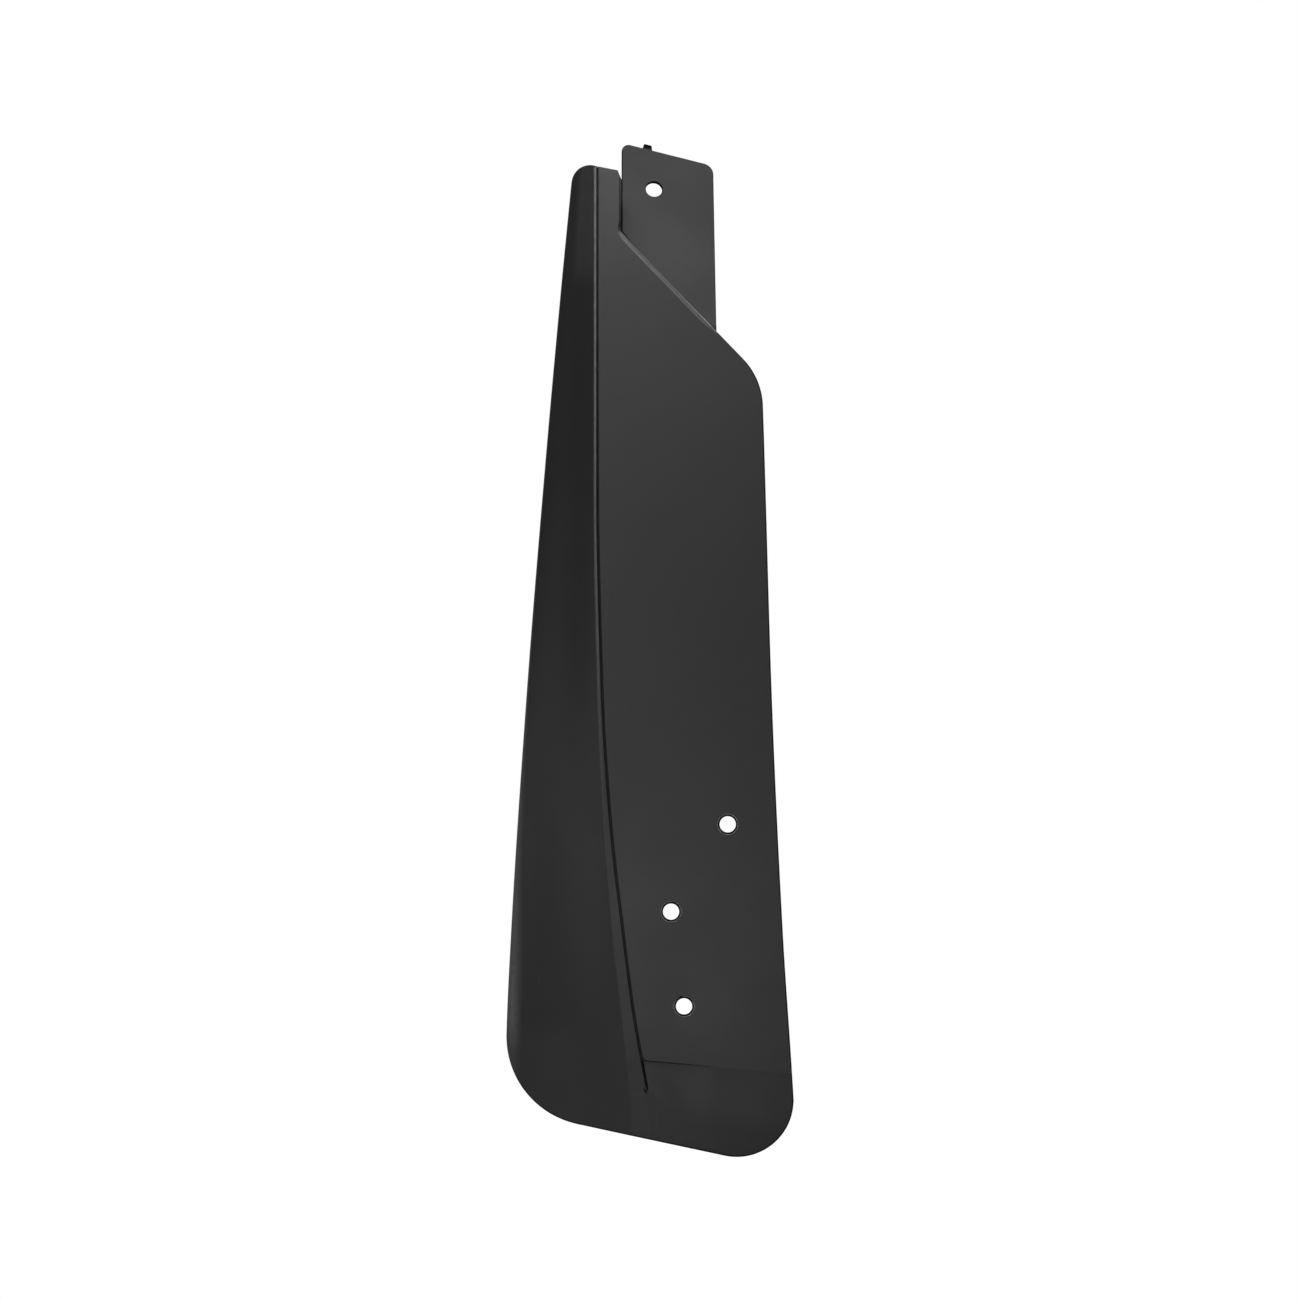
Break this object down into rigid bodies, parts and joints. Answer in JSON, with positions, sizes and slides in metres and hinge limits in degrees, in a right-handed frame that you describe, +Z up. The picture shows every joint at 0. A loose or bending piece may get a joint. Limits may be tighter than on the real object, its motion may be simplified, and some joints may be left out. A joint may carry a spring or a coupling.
{
  "type": "mud flap",
  "caption": "Tall moulded splash guard with a folded-back wing, a bolted flat mounting plate with mounting holes, a leaning bracket tab and a rubber edge seal.",
  "frame": {"origin": "middle of the three mounting holes, on the guard's flat back face, where the flap bears on the vehicle", "axes": "+X to the right as seen from the front of the flap, +Y to the back, out of the mounting face, +Z up"},
  "size_m": [0.1415, 0.0543, 0.4994],
  "materials": {
    "guard_plastic": "matte moulded, fine grain",
    "plate_plastic": "satin moulded, fine grain",
    "bracket_steel": "satin black powder coat",
    "sleeve_steel": "black oxide",
    "screw_steel": "black zinc",
    "seal_rubber": "matte rubber"
  },
  "bodies": {
    "root": {"outer_guard": "guard_plastic", "mounting_plate": "plate_plastic", "upper_bracket": "bracket_steel", "edge_seal": "seal_rubber", "hole_sleeve_upper": "sleeve_steel", "hole_sleeve_middle": "sleeve_steel", "hole_sleeve_lower": "sleeve_steel", "plate_screw_1": "screw_steel", "plate_screw_2": "screw_steel", "plate_screw_3": "screw_steel", "plate_screw_4": "screw_steel", "plate_screw_5": "screw_steel", "plate_screw_6": "screw_steel", "plate_screw_7": "screw_steel", "bracket_screw_1": "screw_steel", "bracket_screw_2": "screw_steel", "plate_washer_1": "screw_steel", "plate_washer_2": "screw_steel", "plate_washer_3": "screw_steel", "plate_washer_4": "screw_steel", "plate_washer_5": "screw_steel", "plate_washer_6": "screw_steel", "plate_washer_7": "screw_steel", "bracket_washer_1": "screw_steel", "bracket_washer_2": "screw_steel"}
  },
  "joints": []
}
